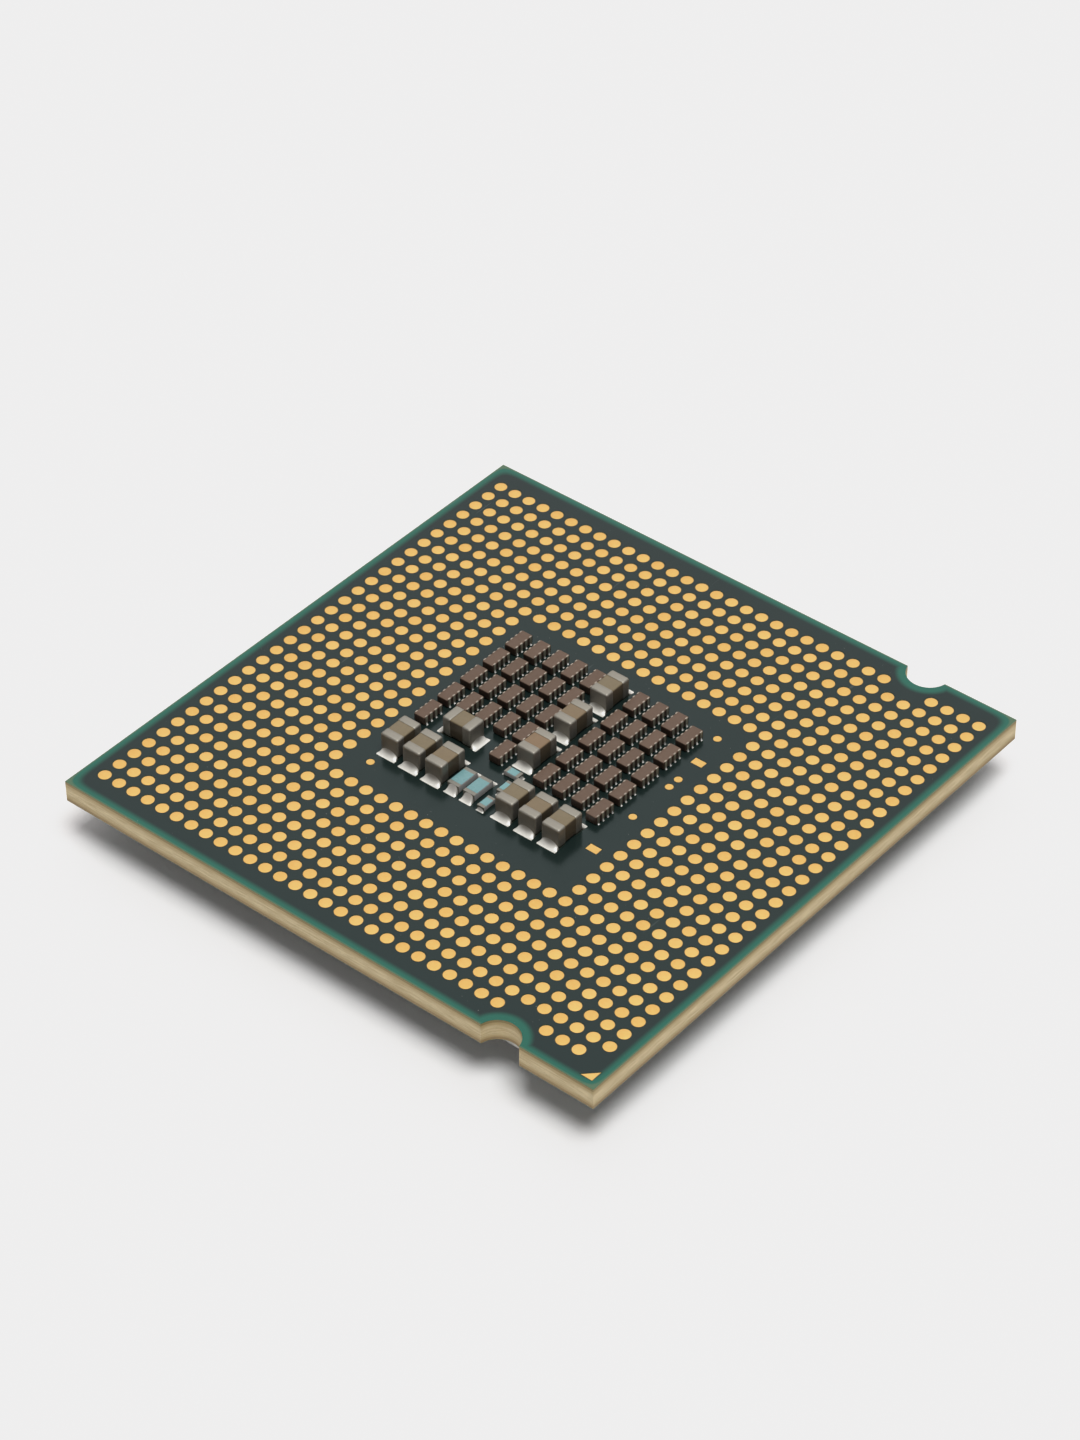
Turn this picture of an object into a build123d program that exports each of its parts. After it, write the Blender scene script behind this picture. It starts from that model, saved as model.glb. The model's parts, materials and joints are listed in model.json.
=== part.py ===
"""Land grid array processor package, resting on its metal lid with the contact side up.

Millimetres. The origin is the centre of the lid's cooler face, +Z points to the contact lands,
X runs across the two notched edges and the notches lie towards -Y.
"""

from build123d import *
import os

os.makedirs("parts", exist_ok=True)

# Package outline: a square with a round keying notch in each X edge
package_side = 37.5
notch_radius = 1.307
notch_centre_outside = 0.23
notch_y = -12.55

# Lid: a square flange with a raised square face and a cavity for the dies
lid_height = 2.30
lid_step = 1.20
lid_flange_side = 34.0
lid_flange_corner = 2.0
lid_face_side = 28.6
lid_face_corner = 1.5
lid_face_edge = 0.25
lid_flange_edge = 0.15
lid_cavity_side = 26.0
lid_cavity_corner = 2.0
lid_cavity_depth = 0.95
vent_radius = 0.4
vent_offset = 14.85

# Sealant bead between the flange and the substrate
sealant_thickness = 0.10
sealant_outer_side = 33.0
sealant_inner_side = 30.6
sealant_corner = 1.6

# Substrate layers, each build-up split in two by a copper plane
mask_thickness = 0.025
buildup_outer_thickness = 0.075
buildup_inner_thickness = 0.090
core_thickness = 1.02
plane_thickness = 0.015
plane_edge_margin = 0.45
plane_notch_margin = 0.55

# Levels
substrate_bottom = lid_height + sealant_thickness
core_bottom = substrate_bottom + mask_thickness + buildup_outer_thickness + buildup_inner_thickness
core_top = core_bottom + core_thickness
buildup_split_top = core_top + buildup_inner_thickness
mask_bottom = buildup_split_top + buildup_outer_thickness
land_level = mask_bottom + mask_thickness

# Contact lands
land_columns = 30
land_rows = 33
land_pitch_x = 1.17
land_pitch_y = 1.09
land_diameter = 0.76
land_thickness = 0.022
land_opening_diameter = 0.87
empty_columns = range(8, 22)
empty_rows = range(9, 24)
notch_rows = (4, 5)

# Gold marks on the contact side
mark_opening_margin = 0.04
pin_one_corner = 18.28
pin_one_leg = 0.72
fiducial_diameter = 0.47
fiducial_places = [(6.86, -6.82), (-6.86, 6.82)]
test_pad_diameter = 0.47
round_test_pads = [(2.78, -7.26), (1.98, -7.26), (-1.22, -7.26)]
long_test_pads = [(4.60, -7.26), (-4.60, -7.26)]
long_test_pad_size = (0.49, 0.75)

# Dies, side by side along Y, each over its own bank of array capacitors
die_size = (13.0, 8.2, 0.77)
die_centre_y = 4.75
bump_height = 0.08
bump_radius = 0.175
bump_pitch = 0.90
bump_grid = (14, 9)
underfill_reach = 0.60
underfill_height = 0.50
underfill_top_margin = 0.05
die_bottom = substrate_bottom - bump_height - die_size[2]
cavity_floor = lid_height - lid_cavity_depth

# Array capacitors: four terminals along each long side
array_size = (1.60, 0.80, 0.55)
array_standoff = 0.03
array_shell = 0.015
array_edge = 0.04
array_terminal_width = 0.20
array_terminal_pitch = 0.40
array_terminals_a_side = 4
array_terminal_wrap = 0.08
array_pitch_x = 1.968
array_pitch_y = 1.367
array_columns = 5
array_centre_x = 2.085
array_last_row_shift = -0.425
array_bank_one = (6.895, 5)
array_bank_two = (-1.704, 4)
array_short_rows = (1, 2, 3)

# Bulk capacitors: centre x, centre y, turn in degrees
bulk_size = (2.05, 1.27, 1.25)
bulk_standoff = 0.04
bulk_shell = 0.03
bulk_edge = 0.07
bulk_wrap = 0.58
bulk_places = [
    (-4.72, 6.40, 0),
    (-4.79, 4.76, 0),
    (-4.83, 3.11, 0),
    (-4.76, -1.88, 0),
    (-4.81, -3.56, 0),
    (-4.80, -5.21, 0),
    (-0.73, -0.07, 0),
    (2.47, -0.04, 0),
    (5.66, -0.06, 0),
    (-1.88, 4.29, 90),
]

# Chip resistors: size, terminal wrap, and centre x, centre y, turn of each
chip_shell = 0.02
coat_thickness = 0.03
coat_margin = 0.02
large_chip_size = (1.60, 0.80, 0.45)
large_chip_wrap = 0.30
large_chip_standoff = 0.03
large_chip_places = [(-5.00, 1.70, 0), (-5.00, 0.58, 0)]
small_chip_size = (1.00, 0.50, 0.30)
small_chip_wrap = 0.20
small_chip_standoff = 0.02
small_chip_places = [(-5.60, -0.52, 0), (-3.98, -0.54, 0), (-2.77, -0.09, 90)]

# Solder joints: how far each reaches past its terminal and how high it climbs
bulk_joint = {"wrap": bulk_wrap, "reach": 0.40, "climb": 0.38, "width": 1.27, "gap": bulk_standoff}
large_joint = {"wrap": large_chip_wrap, "reach": 0.40, "climb": 0.43, "width": 0.80, "gap": large_chip_standoff}
small_joint = {"wrap": small_chip_wrap, "reach": 0.12, "climb": 0.20, "width": 0.50, "gap": small_chip_standoff}
array_joint = {"wrap": array_terminal_wrap, "reach": 0.08, "climb": 0.10, "width": 0.20, "gap": array_standoff}
fillet_hollow = 0.38


def write(part, label):
    part.label = label
    export_step(part, f"parts/{label}.step")


# Places


def land_places():
    """Centres of the contact lands, with the middle, notch and pin-one places left out."""
    places = []
    for column in range(land_columns):
        for row in range(land_rows):
            in_middle = column in empty_columns and row in empty_rows
            at_notch = column in (0, land_columns - 1) and row in notch_rows
            at_pin_one = column == 0 and row == 0
            if not (in_middle or at_notch or at_pin_one):
                x = (column - (land_columns - 1) / 2) * land_pitch_x
                y = (row - (land_rows - 1) / 2) * land_pitch_y
                places.append((x, y))
    return places


def array_rows():
    """Centres of the array capacitors, one list for each row, the far row first."""
    row_ys = []
    for first_y, count in (array_bank_one, array_bank_two):
        row_ys += [first_y - i * array_pitch_y for i in range(count)]
    rows = []
    for index, y in enumerate(row_ys):
        shift = array_last_row_shift if index == len(row_ys) - 1 else 0.0
        first_x = array_centre_x + shift - (array_columns - 1) / 2 * array_pitch_x
        first_column = 1 if index in array_short_rows else 0
        rows.append([(first_x + c * array_pitch_x, y) for c in range(first_column, array_columns)])
    return rows


def two_ends(place, length):
    """Locations of a chip's two end faces at land level, +X pointing outwards."""
    x, y, turn = place
    centre = Location((x, y, land_level), (0, 0, turn))
    return [centre * Location((length / 2, 0, 0)), centre * Location((-length / 2, 0, 0), (0, 0, 180))]


def array_terminal_ends(rows):
    """Locations of every array capacitor terminal's side face, +X pointing outwards."""
    middle = (array_terminals_a_side - 1) / 2
    ends = []
    for x, y in (place for row in rows for place in row):
        for index in range(array_terminals_a_side):
            along = (index - middle) * array_terminal_pitch
            for side in (1, -1):
                spot = (x + along, y + side * array_size[1] / 2, land_level)
                ends.append(Location(spot, (0, 0, 90 * side)))
    return ends


# Shared sketches


def draw_outline(margin=0.0, notch_margin=0.0):
    """The package outline, drawn in the open sketch and drawn in from its edges by a margin."""
    side = package_side - 2 * margin
    notch_x = package_side / 2 + notch_centre_outside
    Rectangle(side, side)
    with Locations((-notch_x, notch_y), (notch_x, notch_y)):
        Circle(notch_radius + notch_margin, mode=Mode.SUBTRACT)


def draw_pin_one(margin, mode=Mode.ADD):
    """The pin-one triangle in the corner nearest the notches, grown by a margin."""
    corner = -pin_one_corner - margin
    leg = pin_one_leg + (2 + 2**0.5) * margin
    Polygon((corner, corner), (corner + leg, corner), (corner, corner + leg), align=None, mode=mode)


# Lid and what is sealed under it


def heat_spreader_lid():
    with BuildPart() as lid:
        with BuildSketch(Plane.XY.offset(lid_step)):
            RectangleRounded(lid_flange_side, lid_flange_side, lid_flange_corner)
        extrude(amount=lid_height - lid_step)
        chamfer(lid.faces().sort_by(Axis.Z)[0].edges(), lid_flange_edge)
        with BuildSketch():
            RectangleRounded(lid_face_side, lid_face_side, lid_face_corner)
        extrude(amount=lid_step)
        chamfer(lid.faces().sort_by(Axis.Z)[0].edges(), lid_face_edge)
        with BuildSketch(Plane.XY.offset(cavity_floor)):
            RectangleRounded(lid_cavity_side, lid_cavity_side, lid_cavity_corner)
        extrude(amount=lid_cavity_depth, mode=Mode.SUBTRACT)
        with Locations((vent_offset, vent_offset, lid_height)):
            Hole(vent_radius)
    return lid.part


def lid_sealant():
    with BuildPart() as bead:
        with BuildSketch(Plane.XY.offset(lid_height)):
            RectangleRounded(sealant_outer_side, sealant_outer_side, sealant_corner)
            inner_corner = sealant_corner - (sealant_outer_side - sealant_inner_side) / 2
            RectangleRounded(sealant_inner_side, sealant_inner_side, inner_corner, mode=Mode.SUBTRACT)
        extrude(amount=sealant_thickness)
    return bead.part


def die(centre_y):
    with BuildPart() as silicon:
        with Locations((0, centre_y, die_bottom)):
            Box(*die_size, align=(Align.CENTER, Align.CENTER, Align.MIN))
    return silicon.part


def thermal_solder(centre_y):
    with BuildPart() as sheet:
        with BuildSketch(Plane.XY.offset(cavity_floor)):
            with Locations((0, centre_y)):
                Rectangle(die_size[0], die_size[1])
        extrude(amount=die_bottom - cavity_floor)
    return sheet.part


def die_bumps(centres_y):
    with BuildPart() as bumps:
        with BuildSketch(Plane.XY.offset(substrate_bottom - bump_height)):
            with Locations(*[(0, y) for y in centres_y]):
                with GridLocations(bump_pitch, bump_pitch, *bump_grid):
                    Circle(bump_radius)
        extrude(amount=bump_height)
    return bumps.part


def underfill(centre_y, silicon, bumps):
    """Resin that fills round the bumps and slopes up the sides of its die."""
    with BuildPart() as resin:
        with BuildSketch(Plane.XY.offset(substrate_bottom - underfill_height)):
            with Locations((0, centre_y)):
                Rectangle(die_size[0] + 2 * underfill_top_margin, die_size[1] + 2 * underfill_top_margin)
        with BuildSketch(Plane.XY.offset(substrate_bottom)):
            with Locations((0, centre_y)):
                Rectangle(die_size[0] + 2 * underfill_reach, die_size[1] + 2 * underfill_reach)
        loft()
        add(silicon, mode=Mode.SUBTRACT)
        add(bumps, mode=Mode.SUBTRACT)
    return resin.part


# Substrate laminate


def laminate_sheet(bottom, thickness):
    with BuildPart() as sheet:
        with BuildSketch(Plane.XY.offset(bottom)):
            draw_outline()
        extrude(amount=thickness)
    return sheet.part


def copper_plane(bottom):
    with BuildPart() as copper:
        with BuildSketch(Plane.XY.offset(bottom)):
            draw_outline(plane_edge_margin, plane_notch_margin)
        extrude(amount=plane_thickness)
    return copper.part


def outer_buildup(bottom, copper):
    """Outer build-up layer, with a pocket that the copper plane fills."""
    with BuildPart() as sheet:
        with BuildSketch(Plane.XY.offset(bottom)):
            draw_outline()
        extrude(amount=buildup_outer_thickness)
        add(copper, mode=Mode.SUBTRACT)
    return sheet.part


def lid_side_mask():
    with BuildPart() as mask:
        with BuildSketch(Plane.XY.offset(substrate_bottom)):
            draw_outline()
            draw_pin_one(mark_opening_margin, Mode.SUBTRACT)
        extrude(amount=mask_thickness)
    return mask.part


def draw_joint_openings(ends, joint):
    """A rectangle cut from the open sketch under each solder joint."""
    length = joint["wrap"] + joint["reach"]
    centre_shift = Location(((joint["reach"] - joint["wrap"]) / 2, 0, 0))
    flat_ends = [Location((end.position.X, end.position.Y), (0, 0, end.orientation.Z)) for end in ends]
    with Locations(*[end * centre_shift for end in flat_ends]):
        Rectangle(length, joint["width"], mode=Mode.SUBTRACT)


def land_side_mask(joint_groups):
    with BuildPart() as mask:
        with BuildSketch(Plane.XY.offset(mask_bottom)):
            draw_outline()
            with Locations(*land_places()):
                Circle(land_opening_diameter / 2, mode=Mode.SUBTRACT)
            draw_pin_one(mark_opening_margin, Mode.SUBTRACT)
            with Locations(*fiducial_places, *round_test_pads):
                Circle(test_pad_diameter / 2 + mark_opening_margin, mode=Mode.SUBTRACT)
            with Locations(*long_test_pads):
                long_x, long_y = long_test_pad_size
                opening = (long_x + 2 * mark_opening_margin, long_y + 2 * mark_opening_margin)
                Rectangle(*opening, mode=Mode.SUBTRACT)
            for ends, joint in joint_groups:
                draw_joint_openings(ends, joint)
        extrude(amount=mask_thickness)
    return mask.part


# Gold lands and marks


def contact_lands():
    with BuildPart() as lands:
        with BuildSketch(Plane.XY.offset(mask_bottom)):
            with Locations(*land_places()):
                Circle(land_diameter / 2)
        extrude(amount=land_thickness)
    return lands.part


def pin_one_marker(bottom):
    with BuildPart() as marker:
        with BuildSketch(Plane.XY.offset(bottom)):
            draw_pin_one(0.0)
        extrude(amount=land_thickness)
    return marker.part


def fiducial_marks():
    with BuildPart() as marks:
        with BuildSketch(Plane.XY.offset(mask_bottom)):
            with Locations(*fiducial_places):
                Circle(fiducial_diameter / 2)
        extrude(amount=land_thickness)
    return marks.part


def test_pads():
    with BuildPart() as pads:
        with BuildSketch(Plane.XY.offset(mask_bottom)):
            with Locations(*round_test_pads):
                Circle(test_pad_diameter / 2)
            with Locations(*long_test_pads):
                Rectangle(*long_test_pad_size)
        extrude(amount=land_thickness)
    return pads.part


# Components


def turned(place, height):
    """Location of a component's underside from its centre, turn and standoff."""
    x, y, turn = place
    return Location((x, y, land_level + height), (0, 0, turn))


def shrunk(size, margins):
    return tuple(length - 2 * margin for length, margin in zip(size, margins))


on_underside = (Align.CENTER, Align.CENTER, Align.MIN)
opening_overrun = 1.1


def block(locations, size, edge):
    """Boxes with softened edges, one at each location."""
    with BuildPart() as body:
        with Locations(*locations):
            Box(*size, align=on_underside)
        fillet(body.edges(), edge)
    return body.part


def array_capacitor_bodies(row):
    size = shrunk(array_size, (0, array_shell, array_shell))
    return block([turned((x, y, 0), array_standoff + array_shell) for x, y in row], size, array_edge)


def array_capacitor_terminals(rows):
    """One clip round each terminal place: a side strip with a short wrap above and below."""
    body_size = shrunk(array_size, (0, array_shell, array_shell))
    with BuildPart() as clip:
        with Locations((-array_terminal_wrap / 2, 0, array_standoff)):
            Box(array_terminal_wrap, array_terminal_width, array_size[2], align=on_underside)
        with Locations((-array_size[1] / 2, 0, array_standoff + array_shell)):
            Box(body_size[1], array_terminal_width, body_size[2], align=on_underside, mode=Mode.SUBTRACT)
    with BuildPart() as terminals:
        with Locations(*array_terminal_ends(rows)):
            add(clip.part)
    return terminals.part


def end_terminals(places, size, standoff, wrap, margins, edge):
    """Metal round both ends of each component, open in the middle where the body shows."""
    inner = shrunk(size, margins)
    opening = (size[0] - 2 * wrap, opening_overrun * size[1], 2 * size[2])
    with BuildPart() as ends:
        with Locations(*[turned(place, standoff) for place in places]):
            Box(*size, align=on_underside)
        if edge:
            fillet(ends.edges(), edge)
        with Locations(*[turned(place, standoff + margins[2]) for place in places]):
            Box(*inner, align=on_underside, mode=Mode.SUBTRACT)
        with Locations(*[turned(place, 0) for place in places]):
            Box(*opening, align=on_underside, mode=Mode.SUBTRACT)
    return ends.part


def bulk_capacitor(place):
    size = shrunk(bulk_size, (bulk_shell, bulk_shell, bulk_shell))
    return block([turned(place, bulk_standoff + bulk_shell)], size, bulk_edge)


def chip_body(place, size, standoff):
    with BuildPart() as body:
        with Locations(turned(place, standoff + chip_shell)):
            Box(*shrunk(size, (chip_shell, 0, chip_shell)), align=on_underside)
    return body.part


def chip_coats():
    """Glass coats, one on each chip between its two top terminals."""
    groups = [
        (large_chip_places, large_chip_size, large_chip_wrap, large_chip_standoff),
        (small_chip_places, small_chip_size, small_chip_wrap, small_chip_standoff),
    ]
    with BuildPart() as coats:
        for places, size, wrap, standoff in groups:
            top = standoff + size[2] - chip_shell
            with Locations(*[turned(place, top) for place in places]):
                Box(size[0] - 2 * wrap, size[1] - 2 * coat_margin, coat_thickness, align=on_underside)
    return coats.part


def solder_joints(groups):
    """Solder under each terminal, with a hollow fillet climbing its outer face."""
    with BuildPart() as joints:
        for ends, joint in groups:
            with BuildPart(mode=Mode.PRIVATE) as single:
                with BuildSketch(Plane.XZ):
                    with BuildLine():
                        foot = (joint["reach"], 0)
                        top = (0, joint["climb"])
                        hollow = (joint["reach"] * fillet_hollow, joint["climb"] * fillet_hollow)
                        ThreePointArc(foot, hollow, top)
                        Polyline(
                            top,
                            (0, joint["gap"]),
                            (-joint["wrap"], joint["gap"]),
                            (-joint["wrap"], -mask_thickness),
                            (joint["reach"], -mask_thickness),
                            foot,
                        )
                    make_face()
                extrude(amount=joint["width"] / 2, both=True)
            with Locations(*ends):
                add(single.part)
    return joints.part


rows = array_rows()
bank_one_rows = rows[: array_bank_one[1]]
bank_two_rows = rows[array_bank_one[1] :]
bulk_ends = [end for place in bulk_places for end in two_ends(place, bulk_size[0])]
large_ends = [end for place in large_chip_places for end in two_ends(place, large_chip_size[0])]
small_ends = [end for place in small_chip_places for end in two_ends(place, small_chip_size[0])]
array_ends = array_terminal_ends(rows)

write(heat_spreader_lid(), "heat_spreader_lid")
write(lid_sealant(), "lid_sealant")

bumps = die_bumps([die_centre_y, -die_centre_y])
write(bumps, "die_bumps")
for name, centre_y in (("one", die_centre_y), ("two", -die_centre_y)):
    silicon = die(centre_y)
    write(silicon, f"die_{name}")
    write(thermal_solder(centre_y), f"thermal_solder_{name}")
    write(underfill(centre_y, silicon, bumps), f"underfill_{name}")

write(laminate_sheet(core_bottom, core_thickness), "substrate_core")
inner_levels = {"lid_side": core_bottom - buildup_inner_thickness, "land_side": core_top}
outer_levels = {"lid_side": substrate_bottom + mask_thickness, "land_side": buildup_split_top}
plane_levels = {"lid_side": inner_levels["lid_side"] - plane_thickness, "land_side": buildup_split_top}
for side in ("lid_side", "land_side"):
    copper = copper_plane(plane_levels[side])
    write(laminate_sheet(inner_levels[side], buildup_inner_thickness), f"buildup_inner_{side}")
    write(copper, f"copper_plane_{side}")
    write(outer_buildup(outer_levels[side], copper), f"buildup_outer_{side}")
write(lid_side_mask(), "solder_mask_lid_side")
joint_groups = [
    (bulk_ends, bulk_joint),
    (large_ends, large_joint),
    (small_ends, small_joint),
    (array_ends, array_joint),
]
write(land_side_mask(joint_groups), "solder_mask_land_side")

write(contact_lands(), "contact_lands")
write(pin_one_marker(mask_bottom), "pin_one_marker_land_side")
write(pin_one_marker(outer_levels["lid_side"] - land_thickness), "pin_one_marker_lid_side")
write(fiducial_marks(), "fiducial_marks")
write(test_pads(), "test_pads")

for number, row in enumerate(rows, start=1):
    write(array_capacitor_bodies(row), f"array_capacitor_row_{number}")
write(array_capacitor_terminals(bank_one_rows), "array_terminals_bank_one")
write(array_capacitor_terminals(bank_two_rows), "array_terminals_bank_two")

for number, place in enumerate(bulk_places, start=1):
    write(bulk_capacitor(place), f"bulk_capacitor_{number}")
bulk_margins = (bulk_shell, bulk_shell, bulk_shell)
write(
    end_terminals(bulk_places, bulk_size, bulk_standoff, bulk_wrap, bulk_margins, bulk_edge),
    "bulk_capacitor_terminals",
)

chip_margins = (chip_shell, 0, chip_shell)
for number, place in enumerate(large_chip_places, start=1):
    write(chip_body(place, large_chip_size, large_chip_standoff), f"large_chip_resistor_{number}")
for number, place in enumerate(small_chip_places, start=1):
    write(chip_body(place, small_chip_size, small_chip_standoff), f"small_chip_resistor_{number}")
write(
    end_terminals(large_chip_places, large_chip_size, large_chip_standoff, large_chip_wrap, chip_margins, 0),
    "large_chip_terminals",
)
write(
    end_terminals(small_chip_places, small_chip_size, small_chip_standoff, small_chip_wrap, chip_margins, 0),
    "small_chip_terminals",
)
write(chip_coats(), "chip_glass_coats")

write(solder_joints(joint_groups[:1]), "solder_joints_bulk")
write(solder_joints(joint_groups[1:3]), "solder_joints_chips")
write(solder_joints(joint_groups[3:]), "solder_joints_array")
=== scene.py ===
"""Looks for the processor package: camera, light, materials and the finely made pieces.

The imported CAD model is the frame. Lengths are metres, and a piece's place comes from the CAD
node that it stands for.
"""

import json
import math
import random

import bmesh
import bpy
from mathutils import Matrix, Vector


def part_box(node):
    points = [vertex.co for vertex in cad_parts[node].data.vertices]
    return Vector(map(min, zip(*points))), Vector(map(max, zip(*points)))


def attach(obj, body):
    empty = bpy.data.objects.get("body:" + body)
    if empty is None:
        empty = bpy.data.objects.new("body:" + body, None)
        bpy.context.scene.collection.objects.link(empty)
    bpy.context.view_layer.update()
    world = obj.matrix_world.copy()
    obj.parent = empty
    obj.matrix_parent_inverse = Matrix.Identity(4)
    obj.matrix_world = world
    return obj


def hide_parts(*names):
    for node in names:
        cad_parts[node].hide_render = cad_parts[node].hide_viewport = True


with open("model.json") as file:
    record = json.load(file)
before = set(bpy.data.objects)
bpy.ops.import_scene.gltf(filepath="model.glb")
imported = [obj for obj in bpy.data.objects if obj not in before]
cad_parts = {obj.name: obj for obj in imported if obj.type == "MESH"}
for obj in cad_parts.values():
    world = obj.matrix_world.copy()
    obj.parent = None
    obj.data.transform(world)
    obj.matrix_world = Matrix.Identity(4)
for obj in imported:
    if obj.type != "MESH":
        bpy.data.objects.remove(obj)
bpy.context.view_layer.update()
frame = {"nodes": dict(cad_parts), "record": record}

MM = 0.001
BODY = "root"
MASK_LOW, MASK_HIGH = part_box("solder_mask_land_side")
LAND_LEVEL = MASK_HIGH.z
MASK_DEPTH = MASK_HIGH.z - MASK_LOW.z
CORE_LOW, CORE_HIGH = (corner.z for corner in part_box("substrate_core"))
rng = random.Random(7)


# ---------------------------------------------------------------- camera, floor and light

CAMERA_PLACE = Vector((-136.23, -113.74, 156.60)) * MM
CAMERA_AIM = Vector((0.58465, 0.48945, -0.64701))
CAMERA_ROLL = math.radians(-0.387)
CAMERA_LENS = 105.5
CAMERA_SENSOR = 36.0
CAMERA_CLIP = (0.005, 50.0)
FLOOR_HALF = 6.0
FLOOR_LEVEL = -0.02 * MM
FLOOR_COLOR = (0.985, 0.985, 0.985)
WORLD_TINT = (1.055, 0.985, 0.985)
TONE_POINTS = [
    (0.40, 0.40), (0.76, 0.77), (0.84, 0.825), (0.94, 0.853), (1.05, 0.862), (1.20, 0.868)]
TONE_END = (2.0, 1.0)


def add_camera():
    data = bpy.data.cameras.new("camera")
    data.lens = CAMERA_LENS
    data.sensor_width = CAMERA_SENSOR
    data.clip_start, data.clip_end = CAMERA_CLIP
    camera = bpy.data.objects.new("camera", data)
    level = CAMERA_AIM.to_track_quat("-Z", "Y").to_matrix().to_4x4()
    roll = Matrix.Rotation(CAMERA_ROLL, 4, "Z")
    camera.matrix_world = Matrix.Translation(CAMERA_PLACE) @ level @ roll
    bpy.context.scene.collection.objects.link(camera)
    bpy.context.scene.camera = camera


def add_sun(name, azimuth, elevation, spread, strength, color):
    """A soft distant light. Azimuth is where it comes from, counted from +X towards +Y."""
    data = bpy.data.lights.new(name, "SUN")
    data.angle = math.radians(spread)
    data.energy = strength
    data.color = color
    lamp = bpy.data.objects.new(name, data)
    flat = math.cos(math.radians(elevation))
    source = Vector((
        flat * math.cos(math.radians(azimuth)),
        flat * math.sin(math.radians(azimuth)),
        math.sin(math.radians(elevation)),
    ))
    lamp.rotation_euler = source.to_track_quat("Z", "Y").to_euler()
    bpy.context.scene.collection.objects.link(lamp)


def add_floor():
    """A wide pale floor, a hair below the lid so that the two don't share a plane."""
    mesh = bpy.data.meshes.new("floor")
    corners = [
        (x * FLOOR_HALF, y * FLOOR_HALF, FLOOR_LEVEL) for x, y in ((-1, -1), (1, -1), (1, 1), (-1, 1))]
    mesh.from_pydata(corners, [], [(0, 1, 2, 3)])
    mesh.materials.append(finish(
        "floor", FLOOR_COLOR, roughness=0.95, variation=0.004, grain=40 * MM, specular=0.0))
    floor = bpy.data.objects.new("floor", mesh)
    bpy.context.scene.collection.objects.link(floor)


def set_world(dim, bright, aim, inner, outer):
    """A dim room with one wide, soft, bright patch. Angles are counted from the aim in degrees."""
    world = bpy.data.worlds.new("studio")
    world.use_nodes = True
    tree = world.node_tree
    way = tree.nodes.new("ShaderNodeTexCoord")
    dot = tree.nodes.new("ShaderNodeVectorMath")
    dot.operation = "DOT_PRODUCT"
    dot.inputs[1].default_value = aim.normalized()
    tree.links.new(way.outputs["Generated"], dot.inputs[0])
    patch = tree.nodes.new("ShaderNodeMapRange")
    patch.interpolation_type = "SMOOTHSTEP"
    tree.links.new(dot.outputs["Value"], patch.inputs["Value"])
    patch.inputs["From Min"].default_value = math.cos(math.radians(outer))
    patch.inputs["From Max"].default_value = math.cos(math.radians(inner))
    patch.inputs["To Min"].default_value = dim
    patch.inputs["To Max"].default_value = bright
    tree.nodes["Background"].inputs["Color"].default_value = (*WORLD_TINT, 1)
    tree.links.new(patch.outputs["Result"], tree.nodes["Background"].inputs["Strength"])
    bpy.context.scene.world = world


def set_tone():
    """A plain transfer with a soft shoulder, so the pale floor stays even."""
    settings = bpy.context.scene.view_settings
    settings.view_transform = "Standard"
    settings.look = "None"
    settings.use_curve_mapping = True
    curves = settings.curve_mapping
    curves.clip_max_x = curves.clip_max_y = TONE_END[0]
    all_channels = curves.curves[3]
    all_channels.points[1].location = TONE_END
    for x, y in TONE_POINTS:
        all_channels.points.new(x, y)
    curves.update()


# ---------------------------------------------------------------- materials

# The notches' circles have their centres outside the board, and the copper keeps clear of them.
NOTCH_OUTSIDE = 0.23 * MM
NOTCH_Y = -12.55 * MM
NOTCH_RADIUS = 1.307 * MM
NOTCH_CLEARANCE = 0.55 * MM
# The mask over copper, over bare laminate, in a lighter olive band along the board's edge, and on its
# sides from low to high.
MASK_DARK = (0.0095, 0.0180, 0.0165)
MASK_GREEN = (0.014, 0.124, 0.084)
MASK_LIP = (0.16, 0.20, 0.10)
MASK_SIDE = ((0.62, 0.52, 0.27), (0.10, 0.17, 0.085))
# The light rim's power law, which rounds its corners, and how far it fades each side of the copper.
RIM_CORNER = 60
RIM_SOFT = (-0.15 * MM, 0.28 * MM)
LIP_WIDTH = 0.14 * MM


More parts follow.
